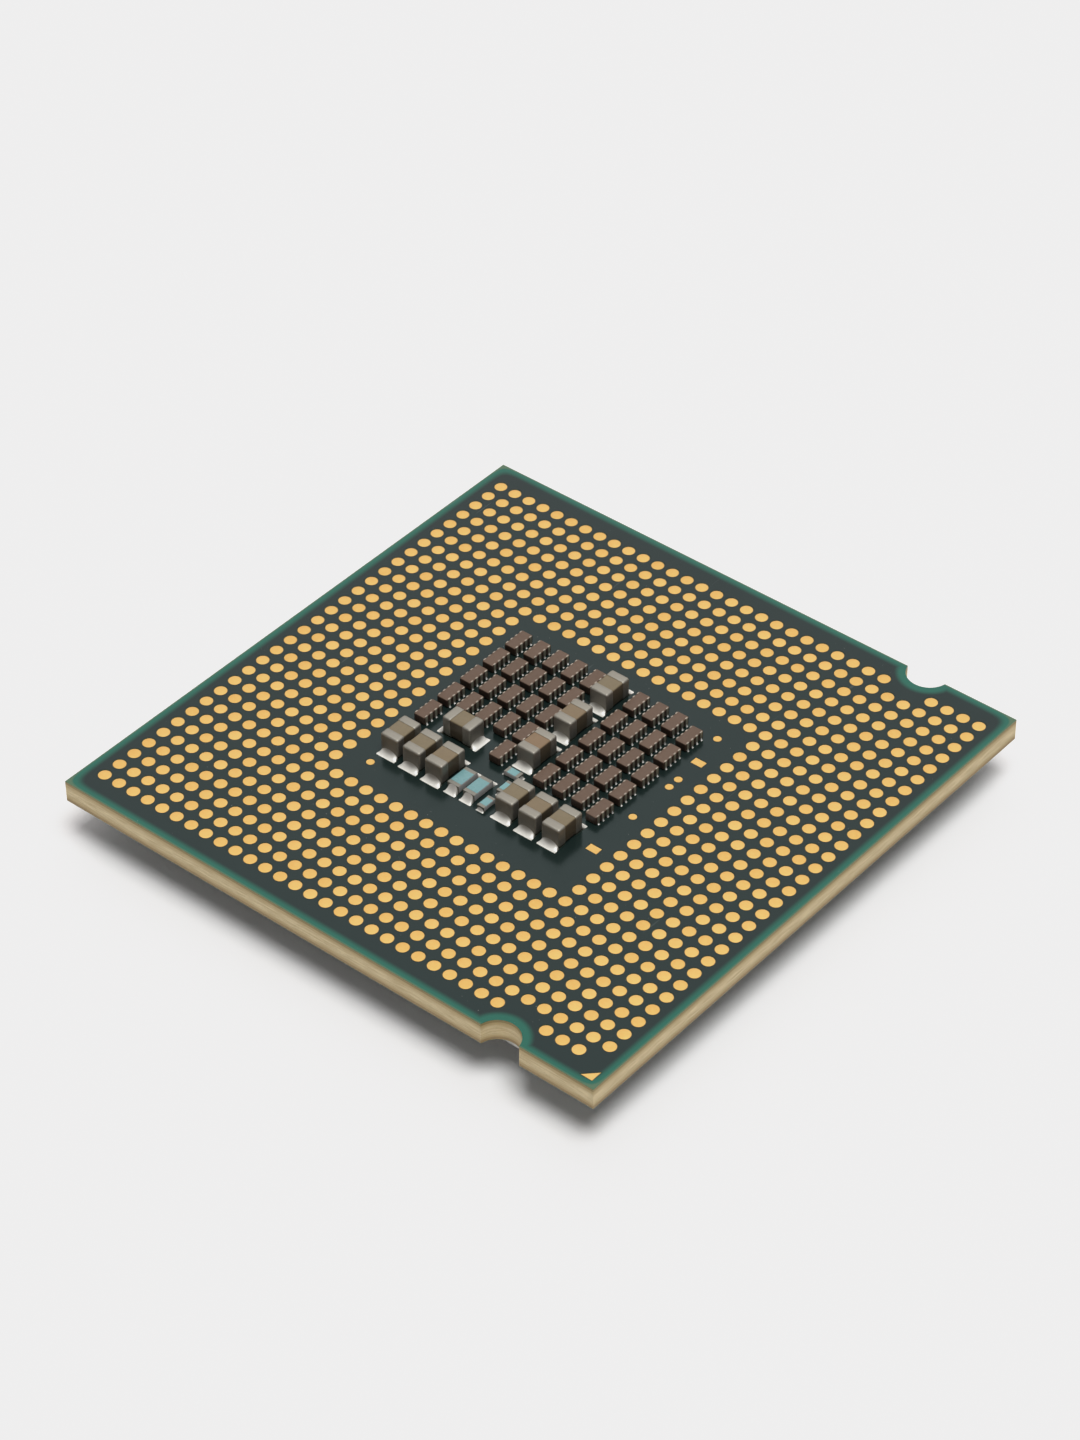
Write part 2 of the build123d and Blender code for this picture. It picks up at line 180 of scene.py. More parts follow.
class Nodes:
    """A small wrapper round a material's node tree."""

    def __init__(self, name):
        self.material = bpy.data.materials.new(name)
        self.material.use_nodes = True
        self.tree = self.material.node_tree
        self.shader = self.tree.nodes["Principled BSDF"]
        self.place = self.add("ShaderNodeTexCoord").outputs["Object"]

    def add(self, kind, **settings):
        node = self.tree.nodes.new(kind)
        for key, value in settings.items():
            setattr(node, key, value)
        return node

    def link(self, source, socket):
        if isinstance(source, bpy.types.NodeSocket):
            self.tree.links.new(source, socket)
        else:
            socket.default_value = source
        return self

    def set(self, name, source):
        self.link(source, self.shader.inputs[name])

    def noise(self, size, detail=2.0, stretch=(1, 1, 1), roughness=0.5):
        """Noise whose lumps are about size metres across."""
        mapping = self.add("ShaderNodeMapping")
        mapping.inputs["Scale"].default_value = stretch
        self.link(self.place, mapping.inputs["Vector"])
        node = self.add("ShaderNodeTexNoise")
        self.link(mapping.outputs["Vector"], node.inputs["Vector"])
        node.inputs["Scale"].default_value = 1.0 / size
        node.inputs["Detail"].default_value = detail
        node.inputs["Roughness"].default_value = roughness
        return node.outputs["Fac"]

    def remap(self, value, low, high, to_low=0.0, to_high=1.0, smooth=False):
        """Value's range low to high, clamped and stretched to another."""
        node = self.add("ShaderNodeMapRange", interpolation_type="SMOOTHSTEP" if smooth else "LINEAR")
        self.link(value, node.inputs["Value"])
        names = ("From Min", "From Max", "To Min", "To Max")
        for name, number in zip(names, (low, high, to_low, to_high)):
            self.link(number, node.inputs[name])
        return node.outputs["Result"]

    def math(self, operation, *values):
        node = self.add("ShaderNodeMath", operation=operation)
        for socket, value in zip(node.inputs, values):
            self.link(value, socket)
        return node.outputs["Value"]

    def mix(self, factor, first, second, blend="MIX"):
        node = self.add("ShaderNodeMix", data_type="RGBA", blend_type=blend)
        self.link(factor, node.inputs["Factor"])
        colors = [socket for socket in node.inputs if socket.type == "RGBA"]
        for socket, color in zip(colors, (first, second)):
            self.link(color if isinstance(color, bpy.types.NodeSocket) else (*color, 1), socket)
        return [socket for socket in node.outputs if socket.type == "RGBA"][0]

    def bump(self, height, depth, strength=1.0, previous=None):
        node = self.add("ShaderNodeBump")
        node.inputs["Strength"].default_value = strength
        node.inputs["Distance"].default_value = depth
        self.link(height, node.inputs["Height"])
        if previous is not None:
            self.link(previous, node.inputs["Normal"])
        return node.outputs["Normal"]

    def axes(self):
        node = self.add("ShaderNodeSeparateXYZ")
        self.link(self.place, node.inputs["Vector"])
        return node.outputs["X"], node.outputs["Y"], node.outputs["Z"]

    def level(self):
        """1 on faces that lie flat, 0 on upright ones."""
        normal = self.add("ShaderNodeNewGeometry").outputs["Normal"]
        split = self.add("ShaderNodeSeparateXYZ")
        self.link(normal, split.inputs["Vector"])
        return self.math("ABSOLUTE", split.outputs["Z"])

    def island(self):
        """A random number for each separate chip, disc or joint of a piece."""
        return self.add("ShaderNodeNewGeometry").outputs["Random Per Island"]


def shade(color, amount):
    return tuple(min(1.0, channel * (1 + amount)) for channel in color)


def finish(name, color, roughness=0.5, metallic=0.0, variation=0.08, grain=0.2 * MM, bump=0.0,
           bump_size=0.03 * MM, per_island=0.0, rough_range=0.08, specular=0.5, sides=None,
           warm=None):
    """A surface with mottled colour, uneven gloss and fine bumps.

    Upright sides may have a colour of their own, which is painted shade where it is darker than the
    top and painted light where it is lighter, per_island varies each separate part's tone, and warm
    is a second colour that a piece's warmth mixes in.
    """
    nodes = Nodes(name)
    mottle = nodes.noise(grain, detail=4.0)
    base = nodes.mix(mottle, shade(color, -variation), shade(color, variation))
    if warm:
        warmth = nodes.add("ShaderNodeAttribute", attribute_name="warmth").outputs["Fac"]
        base = nodes.mix(warmth, base, warm)
    # Upright faces take the sides colour: painted shade where it is darker than the top, painted light
    # where lighter.
    if sides:
        layers = nodes.noise(grain, detail=3.0, stretch=(0.2, 0.2, 1.5))
        side_tone = nodes.mix(layers, shade(sides, -variation), shade(sides, variation))
        base = nodes.mix(nodes.remap(nodes.level(), 0.35, 0.85), side_tone, base)
    if per_island:
        tone = nodes.remap(nodes.island(), 0, 1, 1 - per_island, 1 + per_island)
        grey = nodes.add("ShaderNodeCombineColor")
        for socket in grey.inputs:
            nodes.link(tone, socket)
        base = nodes.mix(1.0, base, grey.outputs["Color"], blend="MULTIPLY")
    nodes.set("Base Color", base)
    nodes.set("Metallic", metallic)
    nodes.set("Specular IOR Level", specular)
    patches = nodes.noise(grain * 3, detail=3.0)
    gloss = nodes.remap(patches, 0.3, 0.7, roughness - rough_range, roughness + rough_range)
    nodes.set("Roughness", gloss)
    if bump:
        nodes.set("Normal", nodes.bump(nodes.noise(bump_size, detail=5.0), bump))
    return nodes.material


def edge_distance(nodes, x, y, half):
    """How far out a point is from the board's middle, up to half at the edge, with round corners."""
    powers = [
        nodes.math("POWER", nodes.math("ABSOLUTE", nodes.math("DIVIDE", axis, half)), RIM_CORNER)
        for axis in (x, y)
    ]
    outward = nodes.math("POWER", nodes.math("ADD", *powers), 1 / RIM_CORNER)
    return nodes.math("MULTIPLY", outward, half)


def notch_distance(nodes, x, y, half):
    """How far a point is from the centre of the nearer notch."""
    dx = nodes.math("SUBTRACT", nodes.math("ABSOLUTE", x), half + NOTCH_OUTSIDE)
    dy = nodes.math("SUBTRACT", y, NOTCH_Y)
    squares = [nodes.math("MULTIPLY", gap, gap) for gap in (dx, dy)]
    return nodes.math("SQRT", nodes.math("ADD", *squares))


def mask_material():
    """Green solder mask: dark over the copper plane, lighter green on the bare rim."""
    nodes = Nodes("solder_mask")
    x, y, z = nodes.axes()
    half = MASK_HIGH.x
    edge = edge_distance(nodes, x, y, half)
    plane_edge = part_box("copper_plane_land_side")[1].x
    rim = nodes.remap(edge, plane_edge + RIM_SOFT[0], plane_edge + RIM_SOFT[1], smooth=True)
    clear = NOTCH_RADIUS + NOTCH_CLEARANCE
    away = notch_distance(nodes, x, y, half)
    round_notch = nodes.remap(away, clear - RIM_SOFT[1], clear - RIM_SOFT[0], 1, 0, smooth=True)
    bare = nodes.math("MAXIMUM", rim, round_notch)
    cloud = nodes.noise(3 * MM, detail=3.0)
    dark = nodes.mix(cloud, MASK_DARK, shade(MASK_DARK, 0.25))
    green = nodes.mix(cloud, MASK_GREEN, shade(MASK_GREEN, 0.2))
    color = nodes.mix(bare, dark, green)
    lip = nodes.remap(edge, half - LIP_WIDTH, half, 0.0, 0.55, smooth=True)
    color = nodes.mix(lip, color, MASK_LIP)
    specks = nodes.remap(nodes.noise(0.12 * MM, detail=1.0), 0.80, 0.84)
    color = nodes.mix(nodes.math("MULTIPLY", specks, 0.5), color, (0.45, 0.46, 0.44))
    streaks = nodes.noise(0.35 * MM, detail=1.0, stretch=(0.06, 1.0, 1.0))
    scratches = nodes.remap(streaks, 0.755, 0.775)
    color = nodes.mix(nodes.math("MULTIPLY", scratches, 0.10), color, (0.30, 0.34, 0.33))
    side_tone = nodes.mix(nodes.remap(z, 0, LAND_LEVEL), *MASK_SIDE)
    color = nodes.mix(nodes.remap(nodes.level(), 0.3, 0.7), side_tone, color)
    nodes.set("Base Color", color)
    patches = nodes.noise(1.2 * MM, detail=4.0)
    nodes.set("Roughness", nodes.remap(patches, 0.3, 0.7, 0.17, 0.25))
    fine = nodes.bump(nodes.noise(0.05 * MM, detail=4.0), 0.0006 * MM)
    nodes.set("Normal", nodes.bump(nodes.noise(1.5 * MM, detail=2.0), 0.004 * MM, previous=fine))
    nodes.set("Specular IOR Level", 0.38)
    nodes.set("Specular Tint", (0.72, 1.0, 1.0, 1.0))
    return nodes.material


def core_material():
    """Glass-epoxy core: thin glass layers show as lines along the sawn edge."""
    nodes = Nodes("core_laminate")
    layers = nodes.noise(0.10 * MM, detail=3.0, stretch=(0.08, 0.08, 1.0))
    fibres = nodes.noise(0.06 * MM, detail=2.0, stretch=(0.5, 0.5, 1.6))
    base = nodes.mix(nodes.remap(layers, 0.35, 0.65), (0.56, 0.45, 0.245), (0.74, 0.63, 0.385))
    middle = (CORE_LOW + CORE_HIGH) / 2
    spread = nodes.math("ABSOLUTE", nodes.math("SUBTRACT", nodes.axes()[2], middle))
    near_face = nodes.remap(spread, 0.12 * MM, (CORE_HIGH - CORE_LOW) / 2, 0.0, 0.75, smooth=True)
    base = nodes.mix(near_face, base, (0.42, 0.31, 0.135))
    base = nodes.mix(nodes.remap(fibres, 0.58, 0.72, 0.0, 0.35), base, (0.34, 0.26, 0.14))
    nodes.set("Base Color", base)
    nodes.set("Roughness", nodes.remap(fibres, 0.3, 0.7, 0.55, 0.75))
    nodes.set("Normal", nodes.bump(layers, 0.006 * MM, previous=nodes.bump(fibres, 0.004 * MM)))
    return nodes.material


def buildup_material():
    """Resin build-up film: brown on its edge, and painted dark as shade on its flat faces, where it
    shows round the lands.
    """
    nodes = Nodes("buildup_film")
    streak = nodes.noise(0.08 * MM, detail=3.0, stretch=(0.15, 0.15, 1.0))
    lower = nodes.mix(streak, (0.27, 0.185, 0.080), (0.38, 0.265, 0.125))
    upper = nodes.mix(streak, (0.24, 0.180, 0.065), (0.34, 0.260, 0.105))
    edge = nodes.mix(nodes.remap(nodes.axes()[2], CORE_LOW, CORE_HIGH), lower, upper)
    # Flat faces get a dark copy of the film: painted shade in the narrow rings round the lands.
    flat = nodes.mix(streak, (0.020, 0.030, 0.018), (0.034, 0.046, 0.030))
    nodes.set("Base Color", nodes.mix(nodes.remap(nodes.level(), 0.4, 0.6), edge, flat))
    nodes.set("Roughness", nodes.remap(streak, 0.3, 0.7, 0.45, 0.65))
    nodes.set("Normal", nodes.bump(streak, 0.004 * MM))
    return nodes.material


def gold_material():
    """Satin gold plate with a soft tone change from land to land and faint wipe marks."""
    nodes = Nodes("gold_plate")
    tone = nodes.mix(nodes.island(), (0.90, 0.595, 0.20), (0.96, 0.65, 0.24))
    cloud = nodes.noise(0.25 * MM, detail=4.0)
    tone = nodes.mix(nodes.remap(cloud, 0.35, 0.75, 0.0, 0.35), tone, (0.97, 0.71, 0.30))
    wipe = nodes.noise(0.05 * MM, detail=3.0, stretch=(1.0, 0.12, 1.0))
    nodes.set("Base Color", tone)
    nodes.set("Metallic", 1.0)
    nodes.set("Roughness", nodes.remap(wipe, 0.3, 0.7, 0.58, 0.70))
    grain = nodes.bump(nodes.noise(0.02 * MM, detail=5.0), 0.0012 * MM)
    nodes.set("Normal", nodes.bump(wipe, 0.0008 * MM, previous=grain))
    return nodes.material


def lid_material():
    """Nickel plate over copper: fine rolling lines, cloudy gloss and a few handling marks."""
    nodes = Nodes("nickel_plate")
    cloud = nodes.noise(2.5 * MM, detail=4.0)
    lines = nodes.noise(0.10 * MM, detail=4.0, stretch=(1.0, 0.04, 1.0))
    base = nodes.mix(cloud, (0.56, 0.545, 0.51), (0.66, 0.65, 0.62))
    marks = nodes.remap(nodes.noise(0.5 * MM, detail=2.0, stretch=(0.1, 1.0, 1.0)), 0.70, 0.74)
    nodes.set("Base Color", nodes.mix(nodes.math("MULTIPLY", marks, 0.3), base, (0.42, 0.40, 0.37)))
    nodes.set("Metallic", 1.0)
    nodes.set("Roughness", nodes.remap(lines, 0.3, 0.7, 0.30, 0.44))
    nodes.set("Normal", nodes.bump(lines, 0.002 * MM, previous=nodes.bump(marks, 0.003 * MM)))
    return nodes.material


def solder_material(name, steep_shade, steep_metallic):
    """Bright solder with frosty grains and a smooth swell; where it climbs up the end face it is painted
    darker, as shade, and made more metallic.
    """
    nodes = Nodes(name)
    cloud = nodes.noise(0.15 * MM, detail=4.0)
    foot = nodes.remap(nodes.level(), 0.40, 0.76, smooth=True)
    bright = nodes.mix(cloud, (0.85, 0.845, 0.78), (0.94, 0.935, 0.87))
    # Flat parts keep the bright solder colour; the climbing part is painted darker as shade.
    nodes.set("Base Color", nodes.mix(foot, steep_shade, bright))
    nodes.set("Metallic", nodes.remap(foot, 0, 1, steep_metallic, 0.36))
    nodes.set("Roughness", nodes.remap(cloud, 0.3, 0.7, 0.36, 0.48))
    fine = nodes.bump(nodes.noise(0.04 * MM, detail=3.0), 0.001 * MM)
    nodes.set("Normal", nodes.bump(nodes.noise(0.35 * MM, detail=1.0), 0.006 * MM, previous=fine))
    return nodes.material


def tin_material():
    """Matte tin on the component ends: grainy, a little uneven, duller than the solder, and painted
    darker on upright faces as shade.
    """
    nodes = Nodes("tin_plate")
    cloud = nodes.noise(0.12 * MM, detail=5.0)
    # The upright colour is a darker copy of the tin: painted shade.
    upright = nodes.mix(cloud, (0.255, 0.238, 0.205), (0.33, 0.308, 0.268))
    flat = nodes.mix(cloud, (0.345, 0.335, 0.285), (0.455, 0.44, 0.38))
    nodes.set("Base Color", nodes.mix(nodes.remap(nodes.level(), 0.2, 0.8), upright, flat))
    nodes.set("Metallic", 0.85)
    nodes.set("Roughness", nodes.remap(cloud, 0.3, 0.7, 0.48, 0.62))
    nodes.set("Normal", nodes.bump(nodes.noise(0.025 * MM, detail=5.0), 0.003 * MM))
    return nodes.material


MATERIALS = {
    "solder_mask": mask_material(),
    "core_laminate": core_material(),
    "buildup_film": buildup_material(),
    "gold_plate": gold_material(),
    "nickel_plate": lid_material(),
    # The second colour of each solder is painted shade on its climbing part.
    "solder": solder_material("solder", (0.30, 0.285, 0.25), 0.80),
    "chip_solder": solder_material("chip_solder", (0.70, 0.68, 0.63), 0.50),
    "tin_plate": tin_material(),
    # Its darker sides colour is painted shade on the strips' upright faces.
    "thin_tin": finish("thin_tin", (0.44, 0.38, 0.31), roughness=0.42, metallic=0.3, variation=0.25,
                       grain=0.06 * MM, bump=0.002 * MM, per_island=0.15, sides=(0.27, 0.26, 0.20)),
    # Its darker sides colour is painted shade on the strips' upright faces.
    "chip_tin": finish("chip_tin", (0.29, 0.285, 0.245), roughness=0.5, metallic=0.5, variation=0.2,
                       grain=0.05 * MM, bump=0.002 * MM, sides=(0.20, 0.195, 0.165)),
    "dull_solder": finish("dull_solder", (0.95, 0.94, 0.88), roughness=0.42, metallic=0.35,
                          variation=0.25, grain=0.05 * MM, bump=0.002 * MM, per_island=0.3),
    "copper": finish("copper", (0.62, 0.30, 0.18), roughness=0.4, metallic=1.0, bump=0.002 * MM),
    "sealant": finish("sealant", (0.012, 0.012, 0.012), roughness=0.6, variation=0.2, bump=0.01 * MM),
    "silicon": finish("silicon", (0.10, 0.11, 0.13), roughness=0.15, metallic=0.6, variation=0.03),
    "indium": finish("indium", (0.70, 0.70, 0.72), roughness=0.4, metallic=1.0, bump=0.005 * MM),
    "underfill_resin": finish("underfill_resin", (0.015, 0.015, 0.018), roughness=0.35, bump=0.01 * MM),
    # The darker sides colour is partly the diced sides' own tone, partly painted shade.
    "brown_ceramic": finish("brown_ceramic", (0.136, 0.086, 0.056), roughness=0.50, variation=0.14,
                            grain=0.12 * MM, bump=0.003 * MM, per_island=0.09,
                            sides=(0.041, 0.0235, 0.015)),
    # The darker sides colour is partly the diced sides' own tone, partly painted shade.
    "beige_ceramic": finish("beige_ceramic", (0.212, 0.170, 0.098), roughness=0.40, variation=0.10,
                            grain=0.25 * MM, bump=0.002 * MM, per_island=0.06,
                            sides=(0.076, 0.059, 0.037), warm=(0.30, 0.165, 0.085)),
    # Its sides colour, a little lighter than the top, is painted light on the upright faces.
    "alumina": finish("alumina", (0.38, 0.375, 0.36), roughness=0.55, variation=0.10, bump=0.003 * MM,
                      sides=(0.43, 0.43, 0.42)),
    "glass_coat": finish("glass_coat", (0.20, 0.40, 0.41), roughness=0.30, variation=0.10,
                         grain=0.15 * MM, bump=0.003 * MM, per_island=0.08),
}


# ---------------------------------------------------------------- mesh helpers

SAME_POINT = 0.0001 * MM
LEAST_CORNER = 0.001 * MM
HALF_TURN = Matrix.Rotation(math.pi, 4, "Z")


def numbered(stem):
    """The CAD nodes named by the stem and a number, in the order of their names."""
    return sorted(
        name for name in frame["nodes"] if name.startswith(stem) and name[len(stem):].isdigit())


def islands(node):
    """Lowest and highest corners of each separate solid in a CAD node, from front to back."""
    mesh = bmesh.new()
    mesh.from_mesh(frame["nodes"][node].data)
    bmesh.ops.remove_doubles(mesh, verts=mesh.verts, dist=SAME_POINT)
    seen = set()
    found = []
    for start in mesh.verts:
        if start in seen:
            continue
        seen.add(start)
        todo = [start]
        low = start.co.copy()
        high = start.co.copy()
        while todo:
            vert = todo.pop()
            for axis in range(3):
                low[axis] = min(low[axis], vert.co[axis])
                high[axis] = max(high[axis], vert.co[axis])
            for edge in vert.link_edges:
                other = edge.other_vert(vert)
                if other not in seen:
                    seen.add(other)
                    todo.append(other)
        found.append((low, high))
    mesh.free()
    return sorted(found, key=lambda corners: (round(corners[0].y, 5), round(corners[0].x, 5)))


def loft(mesh, rings, place):
    """Quads between rings of points, closed at both ends, added to a bmesh at a place."""
    rows = [[mesh.verts.new(place @ point) for point in ring] for ring in rings]
    count = len(rows[0])
    for low, high in zip(rows, rows[1:]):
        for i in range(count):
            j = (i + 1) % count
            mesh.faces.new((low[i], low[j], high[j], high[i]))
    mesh.faces.new(list(reversed(rows[0])))
    mesh.faces.new(rows[-1])


def rounded_ring(x, half_y, half_z, corner, arc_points=5):
    """A rounded rectangle in the plane at x, its centre on the x axis."""
    corner = max(corner, LEAST_CORNER)
    points = []
    for quarter in range(4):
        side_y = 1 if quarter in (0, 3) else -1
        side_z = 1 if quarter in (0, 1) else -1
        for step in range(arc_points):
            angle = math.pi / 2 * (quarter + step / (arc_points - 1))
            points.append(Vector((
                x,
                side_y * (half_y - corner) + corner * math.cos(angle),
                side_z * (half_z - corner) + corner * math.sin(angle),
            )))
    return points


def rounded_block(mesh, size, edge, place, steps=4):
    """A box with round edges, its centre at the place."""
    half_x, half_y, half_z = (length / 2 for length in size)
    rng.random()  # a spare draw, so that whatever is drawn later keeps its number
    rings = []
    for end in (-1, 1):
        for step in range(steps + 1):
            turn = math.pi / 2 * (step / steps if end < 0 else 1 - step / steps)
            inset = edge * (1 - math.sin(turn))
            x = end * (half_x - edge * (1 - math.cos(turn)))
            rings.append(rounded_ring(x, half_y - inset, half_z - inset, edge - inset * 0.6))
    loft(mesh, rings, place)


def new_piece(name, mesh, slot, replaced, angle=35.0, look=None, warmth=0.0):
    """Turns a bmesh into a piece that rides on the package in place of some CAD nodes.

    Its look is its slot's unless another is named, and faces that meet at more than the angle
    have a sharp edge.
    """
    bmesh.ops.recalc_face_normals(mesh, faces=mesh.faces)
    data = bpy.data.meshes.new(name)
    mesh.to_mesh(data)
    mesh.free()
    if warmth:
        tint = data.attributes.new("warmth", "FLOAT", "POINT")
        tint.data.foreach_set("value", [warmth] * len(data.vertices))
    data.shade_smooth()
    data.set_sharp_from_angle(angle=math.radians(angle))
    data.materials.append(MATERIALS[look or slot])
    piece = bpy.data.objects.new(name, data)
    bpy.context.scene.collection.objects.link(piece)
    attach(piece, BODY)
    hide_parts(*replaced)


def long_axis(low, high):
    """0 for a box that is longer along X, 1 for one that is longer along Y."""
    return 1 if high.y - low.y > high.x - low.x else 0


def spans(low, high):
    """A box's length, width and height, the length being its longer side."""
    width, length = sorted((high.x - low.x, high.y - low.y))
    return length, width, high.z - low.z


def seat(low, high):
    """The place of a box's centre, its X axis along the box's length."""
    turn = Matrix.Rotation(math.radians(90 * long_axis(low, high)), 4, "Z")
    return Matrix.Translation((low + high) / 2) @ turn


def ends(low, high):
    """For each end of a component: its own turn about Z, and its place on the mask.

    The X axis of both points outwards.
    """
    axis = long_axis(low, high)
    middle = (low + high) / 2
    for edge, angle, flip in ((high, 0, Matrix.Identity(4)), (low, 180, HALF_TURN)):
        spot = Vector((middle.x, middle.y, LAND_LEVEL))
        spot[axis] = edge[axis]
        turn = Matrix.Rotation(math.radians(90 * axis + angle), 4, "Z")
        yield flip, Matrix.Translation(spot) @ turn


# ---------------------------------------------------------------- contact lands

LAND_SIDES = 36
# A land's edge from the foot up: how far in, as a share of the diameter, and how high.
LAND_PROFILE = [(0.0, 0.0), (0.0, 0.70), (0.012, 0.93), (0.035, 1.0)]


def circle(radius, z):
    angles = [2 * math.pi * i / LAND_SIDES for i in range(LAND_SIDES)]
    return [Vector((radius * math.cos(angle), radius * math.sin(angle), z)) for angle in angles]


def add_lands():
    """Each land is a disc with a softly rounded rim."""
    mesh = bmesh.new()
    for low, high in islands("contact_lands"):
        middle = (low + high) / 2
        radius = (high.x - low.x) / 2
        thickness = high.z - low.z
        rings = [
            circle(radius - inset * 2 * radius, thickness * height) for inset, height in LAND_PROFILE]
        loft(mesh, rings, Matrix.Translation((middle.x, middle.y, low.z)))
    new_piece("contact_land_discs", mesh, "gold_plate", ["contact_lands"], angle=50.0)


# ---------------------------------------------------------------- solder fillets

# A fillet's shape, in shares of its own reach, climb, width and gap.
SLOPE_POWER = 2.1
SKIN = 0.035
TOE_DRAW = 0.04
TOE_FLARE = 0.05
FILM_WIDTH = 0.8
FILM_EDGE = 0.2
SKEW = 0.08
LIFT = (0.92, 1.06)


def fillet_grid(reach, climb, width, pinch, arch, columns, rows):
    """Rows of points from the end face to the toe. Each row goes from one side to the other."""
    skew = rng.uniform(-SKEW, SKEW)
    lift = rng.uniform(*LIFT)
    grid = []
    for i in range(rows + 1):
        along = i / rows
        line = []
        for j in range(columns + 1):
            side = 2 * j / columns - 1
            rounding = (1 - abs(side) ** 7) ** 0.5
            slope = (1 - along) ** SLOPE_POWER * (1 - arch * side ** 2 + skew * side)
            skin = SKIN * (1 - along ** 3)
            line.append(Vector((
                reach * along * (1 - TOE_DRAW * abs(side) ** 6),
                width / 2 * side * (1 + TOE_FLARE * along - pinch * (1 - along) ** 2),
                climb * rounding * (lift * max(slope, 0.0) + skin),
            )))
        grid.append(line)
    return grid


def solder_fillet(mesh, place, wrap, reach, climb, width, gap, pinch=0.0, arch=0.7, columns=14, rows=12):
    """A hollow solder fillet: a foot on the pad that climbs the end face, and a film under it.

    Both go down through the mask. Arch lowers the fillet towards both sides, and pinch narrows
    its top.
    """
    points = fillet_grid(reach, climb, width, pinch, arch, columns, rows)
    grid = [[mesh.verts.new(place @ point) for point in line] for line in points]
    for near, far in zip(grid, grid[1:]):
        for j in range(columns):
            mesh.faces.new((near[j], far[j], far[j + 1], near[j + 1]))
    rim = [(0, j) for j in range(columns + 1)] + [(i, columns) for i in range(1, rows + 1)]
    rim += [(rows, j) for j in range(columns - 1, -1, -1)] + [(i, 0) for i in range(rows - 1, 0, -1)]
    base = [
        mesh.verts.new(place @ Vector((points[i][j].x, points[i][j].y, -MASK_DEPTH))) for i, j in rim]
    top = [grid[i][j] for i, j in rim]
    for i, vert in enumerate(top):
        j = (i + 1) % len(top)
        mesh.faces.new((vert, top[j], base[j], base[i]))
    mesh.faces.new(base)
    film = place @ Matrix.Translation((-wrap / 2, 0, (gap - MASK_DEPTH) / 2))
    rounded_block(mesh, (wrap, FILM_WIDTH * width, gap + MASK_DEPTH), FILM_EDGE * gap, film, steps=2)


# ---------------------------------------------------------------- bulk capacitors

BULK_WRAP = 0.58 * MM
BULK_SHELL = 0.03 * MM
BULK_ROUND = 0.13 * MM
BULK_BODY_ROUND = 0.8 * BULK_ROUND
BULK_JOINT = {
    "wrap": BULK_WRAP, "reach": 0.40 * MM, "climb": 0.38 * MM, "width": 1.27 * MM, "gap": 0.04 * MM}
# A few of the ceramics are redder than the rest.
BULK_WARMTH = {
    "bulk_capacitor_3": 0.10, "bulk_capacitor_5": 0.12, "bulk_capacitor_7": 0.42,
    "bulk_capacitor_8": 0.20}
LIP_RIPPLE = 0.014 * MM


def end_cap(mesh, place, size, wrap, shell, edge):
    """A dipped metal end: a lip with an uneven edge, then a soft round cap. X points outwards."""
    half_x, half_y, half_z = (length / 2 for length in size)
    wide_phase, fine_phase = (rng.uniform(0, 2 * math.pi) for _ in range(2))
    rng.random()  # a spare draw, so that whatever is drawn later keeps its number
    lip = half_x - wrap
    flat = half_x - edge - lip
    profile = [(lip, 2 * shell), (lip, 0.9 * shell), (lip + 0.25 * shell, 0.3 * shell)]
    profile += [(lip + shell, 0.0), (lip + 0.4 * flat, 0.0), (lip + 0.75 * flat, 0.0)]
    steps = 6
    for step in range(steps + 1):
        turn = math.pi / 2 * step / steps
        profile.append((half_x - edge + edge * math.sin(turn), edge * (1 - math.cos(turn))))
    rings = []
    for index, (x, inset) in enumerate(profile):
        corner = max(edge - inset * 0.5, edge * 0.4)
        ring = rounded_ring(x, half_y - inset, half_z - inset, corner, arc_points=6)
        fade = max(0.0, 1 - index / 5)
        for spot, point in enumerate(ring):
            angle = 2 * math.pi * spot / len(ring)
            ripple = math.sin(2 * angle + wide_phase) + 0.6 * math.sin(5 * angle + fine_phase)
            point.x += LIP_RIPPLE * fade * ripple
        rings.append(ring)
    loft(mesh, rings, place)


def add_bulk_capacitors():
    caps = bmesh.new()
    joints = bmesh.new()
    margin = Vector((BULK_SHELL, BULK_SHELL, BULK_SHELL))
    for node in numbered("bulk_capacitor_"):
        low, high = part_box(node)
        body = bmesh.new()
        rounded_block(body, spans(low, high), BULK_BODY_ROUND, seat(low, high))
        new_piece(f"{node}_body", body, "beige_ceramic", [node], warmth=BULK_WARMTH.get(node, 0.0))
        low, high = low - margin, high + margin
        for flip, foot in ends(low, high):
            cap_place = seat(low, high) @ flip
            end_cap(caps, cap_place, spans(low, high), BULK_WRAP, BULK_SHELL, BULK_ROUND)
            solder_fillet(joints, foot, **BULK_JOINT)
    new_piece("bulk_capacitor_end_caps", caps, "tin_plate", ["bulk_capacitor_terminals"])
    new_piece("bulk_capacitor_solder", joints, "solder", ["solder_joints_bulk"], angle=60.0)


# ---------------------------------------------------------------- chip resistors

CHIPS = {
    "large": {"wrap": 0.25 * MM, "joint": {
        "wrap": 0.30 * MM, "reach": 0.40 * MM, "climb": 0.47 * MM, "width": 0.80 * MM,
        "gap": 0.03 * MM, "pinch": 0.12, "arch": 0.35}},
    "small": {"wrap": 0.20 * MM, "joint": {
        "wrap": 0.20 * MM, "reach": 0.12 * MM, "climb": 0.22 * MM, "width": 0.50 * MM,
        "gap": 0.02 * MM}},
}
CHIP_SHELL = 0.02 * MM
CHIP_ROUND = 0.02 * MM
COAT_THICKNESS = 0.03 * MM
COAT_ROUND = 0.012 * MM
COAT_MARGIN = 0.015 * MM


